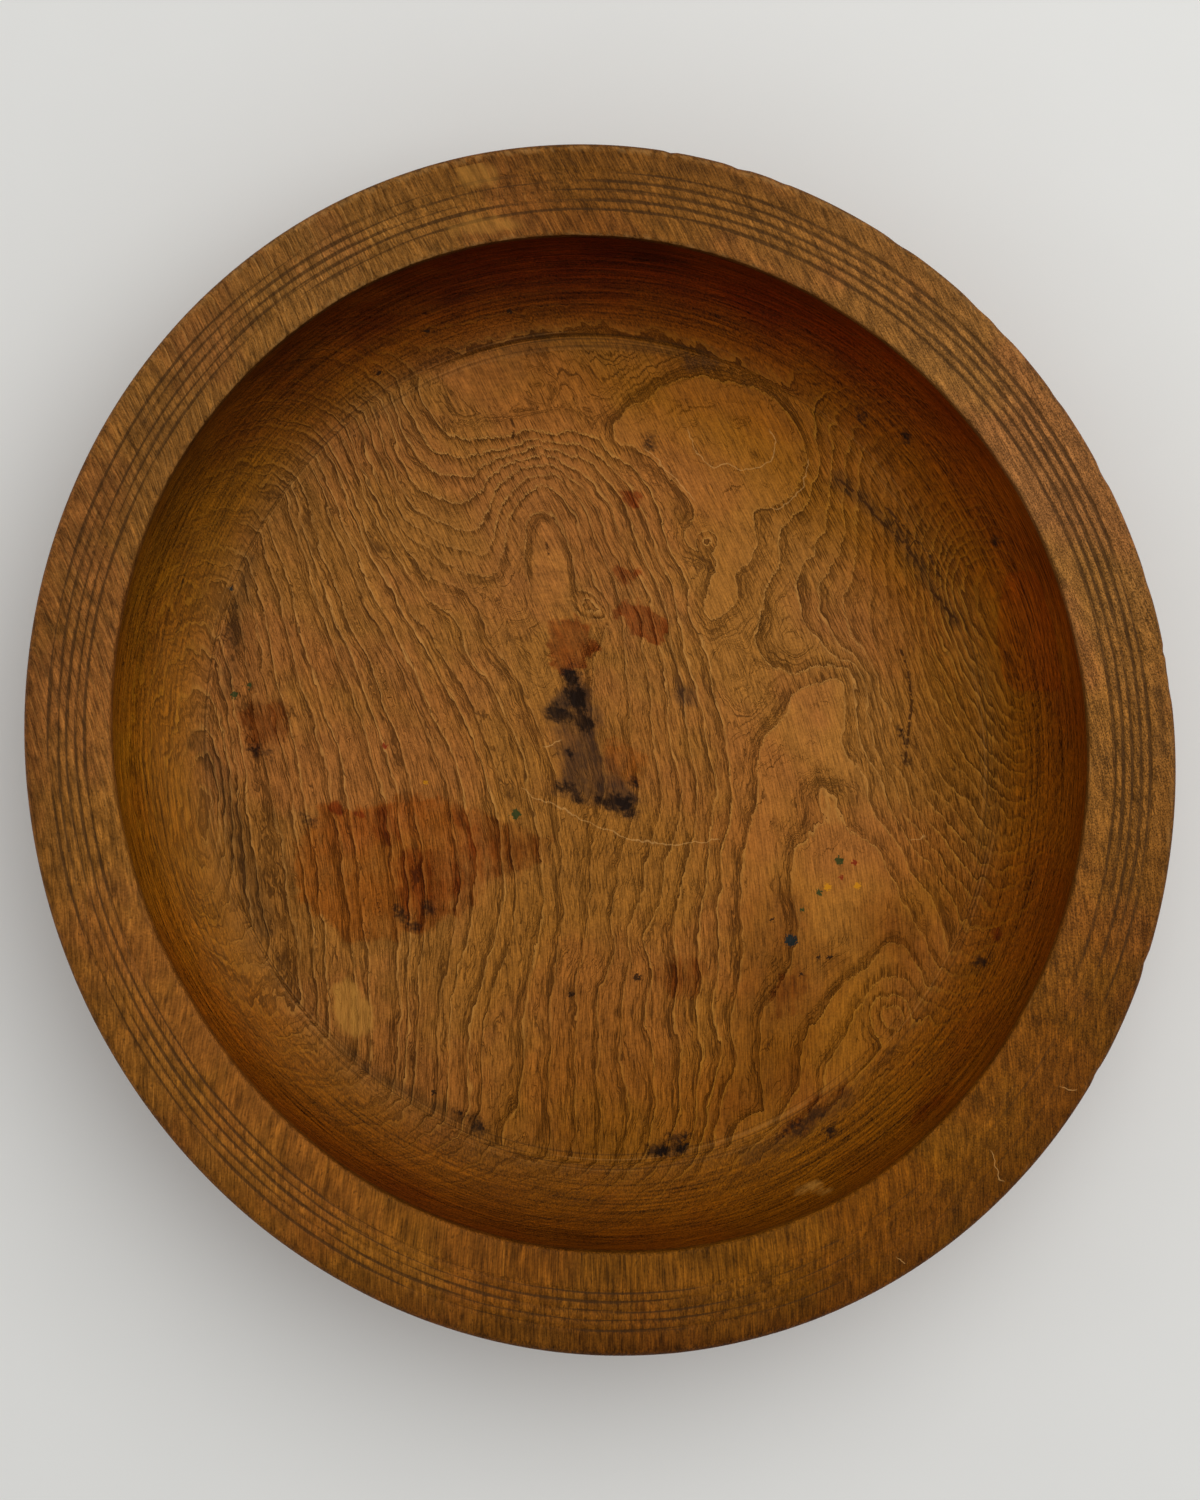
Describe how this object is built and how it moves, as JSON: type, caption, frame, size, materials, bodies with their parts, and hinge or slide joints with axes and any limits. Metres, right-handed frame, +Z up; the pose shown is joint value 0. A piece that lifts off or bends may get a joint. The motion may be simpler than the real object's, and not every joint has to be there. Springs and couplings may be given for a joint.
{
  "type": "dough bowl",
  "caption": "Large shallow wooden dough bowl, turned from one block and dried slightly oval, with a wide flat ringed rim, a coved wall, a dished floor and a flat foot.",
  "frame": {"origin": "centre of the flat foot's underside, on the turning axis", "axes": "+Z up along the turning axis, towards the mouth; +Y along the grain, the bowl's longer way; +X across the grain"},
  "size_m": [0.55, 0.585, 0.105],
  "materials": {
    "wood": "old oiled wood, worn and stained, satin"
  },
  "bodies": {
    "root": {"bowl": "wood"}
  },
  "joints": []
}
